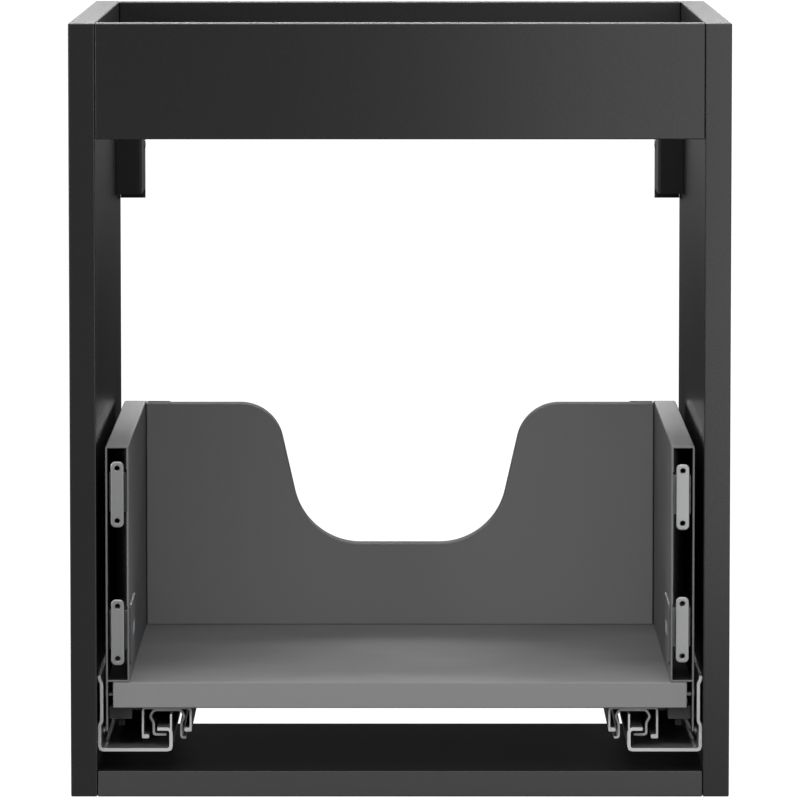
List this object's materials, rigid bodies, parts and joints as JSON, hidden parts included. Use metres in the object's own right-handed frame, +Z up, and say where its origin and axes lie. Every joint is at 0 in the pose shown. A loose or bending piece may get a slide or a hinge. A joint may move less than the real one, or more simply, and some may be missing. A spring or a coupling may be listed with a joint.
{
  "type": "washbasin base cabinet",
  "caption": "Wall-hung washbasin cabinet carcass in dark board, open at top and back, with a runner-mounted pull-out drawer cut out for the waste pipe and concealed wall hangers.",
  "frame": {"origin": "middle of the carcass footprint, on the plane of the side panels' undersides", "axes": "+Z up, +X to the right as seen from the front, the open front faces -Y and the wall side faces +Y"},
  "size_m": [0.4, 0.385, 0.47],
  "materials": {
    "board_dark": "satin anthracite faced board",
    "board_grey": "matt grey faced board",
    "drawer_metal": "satin anthracite powder coat",
    "runner_steel": "bright zinc-plated steel",
    "fitting_steel": "satin zinc-plated steel",
    "black_plastic": "matt black",
    "grey_plastic": "matt dark grey",
    "white_plastic": "natural white",
    "dowel_wood": "bare beech"
  },
  "bodies": {
    "carcass": {"side_panel_left": "board_dark", "side_panel_right": "board_dark", "front_rail": "board_dark", "back_rail": "board_dark", "bottom_panel": "board_dark", "dowel_front_rail_left": "dowel_wood", "dowel_front_rail_right": "dowel_wood", "dowel_back_rail_left": "dowel_wood", "dowel_back_rail_right": "dowel_wood", "dowel_bottom_panel_left": "dowel_wood", "dowel_bottom_panel_right": "dowel_wood", "hanger_housing_left": "black_plastic", "hanger_rivet_left": "fitting_steel", "cabinet_rail_left": "runner_steel", "rail_screw_front_left": "fitting_steel", "rail_screw_rear_left": "fitting_steel", "damper_housing_left": "grey_plastic", "hanger_housing_right": "black_plastic", "hanger_rivet_right": "fitting_steel", "cabinet_rail_right": "runner_steel", "rail_screw_front_right": "fitting_steel", "rail_screw_rear_right": "fitting_steel", "damper_housing_right": "grey_plastic"},
    "drawer": {"drawer_floor": "board_grey", "drawer_back": "board_grey", "drawer_side_left": "drawer_metal", "cover_cap_left": "grey_plastic", "back_holder_left": "drawer_metal", "rail_coupling_left": "grey_plastic", "drawer_rail_left": "runner_steel", "floor_screw_left": "fitting_steel", "drawer_side_right": "drawer_metal", "cover_cap_right": "grey_plastic", "back_holder_right": "drawer_metal", "rail_coupling_right": "grey_plastic", "drawer_rail_right": "runner_steel", "floor_screw_right": "fitting_steel"},
    "middle_rail_left": {"middle_rail_left": "runner_steel"},
    "roller_cage_left": {"roller_cage_left": "white_plastic"},
    "ball_cage_left": {"ball_cage_left": "fitting_steel"},
    "damper_catch_left": {"damper_catch_left": "black_plastic"},
    "release_lever_left": {"release_lever_left": "black_plastic"},
    "front_plate_upper_left": {"front_plate_upper_left": "fitting_steel"},
    "front_plate_lower_left": {"front_plate_lower_left": "fitting_steel"},
    "hanger_depth_screw_left": {"hanger_depth_screw_left": "fitting_steel"},
    "hanger_carriage_left": {"hanger_carriage_left": "fitting_steel"},
    "hanger_height_screw_left": {"hanger_height_screw_left": "fitting_steel"},
    "hanger_hook_left": {"hanger_hook_left": "fitting_steel"},
    "middle_rail_right": {"middle_rail_right": "runner_steel"},
    "roller_cage_right": {"roller_cage_right": "white_plastic"},
    "ball_cage_right": {"ball_cage_right": "fitting_steel"},
    "damper_catch_right": {"damper_catch_right": "black_plastic"},
    "release_lever_right": {"release_lever_right": "black_plastic"},
    "front_plate_upper_right": {"front_plate_upper_right": "fitting_steel"},
    "front_plate_lower_right": {"front_plate_lower_right": "fitting_steel"},
    "hanger_depth_screw_right": {"hanger_depth_screw_right": "fitting_steel"},
    "hanger_carriage_right": {"hanger_carriage_right": "fitting_steel"},
    "hanger_height_screw_right": {"hanger_height_screw_right": "fitting_steel"},
    "hanger_hook_right": {"hanger_hook_right": "fitting_steel"}
  },
  "joints": [
    {"name": "drawer_slide", "type": "slide", "parent": "carcass", "child": "drawer", "axis": [0, -1, 0], "range_m": [0, 0.28]},
    {"name": "middle_rail_left_slide", "type": "slide", "parent": "carcass", "child": "middle_rail_left", "axis": [0, -1, 0], "range_m": [0, 0.1405]},
    {"name": "roller_cage_left_slide", "type": "slide", "parent": "carcass", "child": "roller_cage_left", "axis": [0, -1, 0], "range_m": [0, 0.0705]},
    {"name": "ball_cage_left_slide", "type": "slide", "parent": "carcass", "child": "ball_cage_left", "axis": [0, -1, 0], "range_m": [0, 0.2105]},
    {"name": "damper_catch_left_slide", "type": "slide", "parent": "carcass", "child": "damper_catch_left", "axis": [0, -1, 0], "range_m": [0, 0.045], "stiffness_N_per_m": 20, "springref_m": -0.02},
    {"name": "release_lever_left_squeeze", "type": "hinge", "parent": "drawer", "child": "release_lever_left", "pos_m": [-0.16955, -0.146, 0.0455], "axis": [0, 0, 1], "range_deg": [0, 10], "stiffness_Nm_per_rad": 0.05, "springref_deg": -2.86},
    {"name": "front_plate_upper_left_height", "type": "slide", "parent": "drawer", "child": "front_plate_upper_left", "axis": [0, 0, 1], "range_m": [-0.002, 0.002]},
    {"name": "front_plate_lower_left_height", "type": "slide", "parent": "drawer", "child": "front_plate_lower_left", "axis": [0, 0, 1], "range_m": [-0.002, 0.002]},
    {"name": "hanger_carriage_left_depth", "type": "slide", "parent": "carcass", "child": "hanger_carriage_left", "axis": [0, 1, 0], "range_m": [0, 0.0125]},
    {"name": "hanger_depth_screw_left_turn", "type": "hinge", "parent": "carcass", "child": "hanger_depth_screw_left", "pos_m": [-0.1778, 0.14, 0.401], "axis": [0, 1, 0], "range_deg": [0, 1801]},
    {"name": "hanger_hook_left_height", "type": "slide", "parent": "hanger_carriage_left", "child": "hanger_hook_left", "axis": [0, 0, 1], "range_m": [-0.0075, 0.0075]},
    {"name": "hanger_height_screw_left_turn", "type": "hinge", "parent": "hanger_carriage_left", "child": "hanger_height_screw_left", "pos_m": [-0.1778, 0.14, 0.389], "axis": [0, 1, 0], "range_deg": [-1081, 1081]},
    {"name": "middle_rail_right_slide", "type": "slide", "parent": "carcass", "child": "middle_rail_right", "axis": [0, -1, 0], "range_m": [0, 0.1405]},
    {"name": "roller_cage_right_slide", "type": "slide", "parent": "carcass", "child": "roller_cage_right", "axis": [0, -1, 0], "range_m": [0, 0.0705]},
    {"name": "ball_cage_right_slide", "type": "slide", "parent": "carcass", "child": "ball_cage_right", "axis": [0, -1, 0], "range_m": [0, 0.2105]},
    {"name": "damper_catch_right_slide", "type": "slide", "parent": "carcass", "child": "damper_catch_right", "axis": [0, -1, 0], "range_m": [0, 0.045], "stiffness_N_per_m": 20, "springref_m": -0.02},
    {"name": "release_lever_right_squeeze", "type": "hinge", "parent": "drawer", "child": "release_lever_right", "pos_m": [0.16955, -0.146, 0.0455], "axis": [0, 0, -1], "range_deg": [0, 10], "stiffness_Nm_per_rad": 0.05, "springref_deg": -2.86},
    {"name": "front_plate_upper_right_height", "type": "slide", "parent": "drawer", "child": "front_plate_upper_right", "axis": [0, 0, 1], "range_m": [-0.002, 0.002]},
    {"name": "front_plate_lower_right_height", "type": "slide", "parent": "drawer", "child": "front_plate_lower_right", "axis": [0, 0, 1], "range_m": [-0.002, 0.002]},
    {"name": "hanger_carriage_right_depth", "type": "slide", "parent": "carcass", "child": "hanger_carriage_right", "axis": [0, 1, 0], "range_m": [0, 0.0125]},
    {"name": "hanger_depth_screw_right_turn", "type": "hinge", "parent": "carcass", "child": "hanger_depth_screw_right", "pos_m": [0.1778, 0.14, 0.401], "axis": [0, 1, 0], "range_deg": [0, 1801]},
    {"name": "hanger_hook_right_height", "type": "slide", "parent": "hanger_carriage_right", "child": "hanger_hook_right", "axis": [0, 0, 1], "range_m": [-0.0075, 0.0075]},
    {"name": "hanger_height_screw_right_turn", "type": "hinge", "parent": "hanger_carriage_right", "child": "hanger_height_screw_right", "pos_m": [0.1778, 0.14, 0.389], "axis": [0, 1, 0], "range_deg": [-1081, 1081]}
  ],
  "couplings": [
    {"joint": "middle_rail_left_slide", "follows": "drawer_slide", "ratio": 0.5},
    {"joint": "roller_cage_left_slide", "follows": "drawer_slide", "ratio": 0.25},
    {"joint": "ball_cage_left_slide", "follows": "drawer_slide", "ratio": 0.75},
    {"joint": "hanger_depth_screw_left_turn", "follows": "hanger_carriage_left_depth", "rad_per_m": 2513.3},
    {"joint": "hanger_height_screw_left_turn", "follows": "hanger_hook_left_height", "rad_per_m": 2513.3},
    {"joint": "middle_rail_right_slide", "follows": "drawer_slide", "ratio": 0.5},
    {"joint": "roller_cage_right_slide", "follows": "drawer_slide", "ratio": 0.25},
    {"joint": "ball_cage_right_slide", "follows": "drawer_slide", "ratio": 0.75},
    {"joint": "hanger_depth_screw_right_turn", "follows": "hanger_carriage_right_depth", "rad_per_m": 2513.3},
    {"joint": "hanger_height_screw_right_turn", "follows": "hanger_hook_right_height", "rad_per_m": 2513.3}
  ]
}
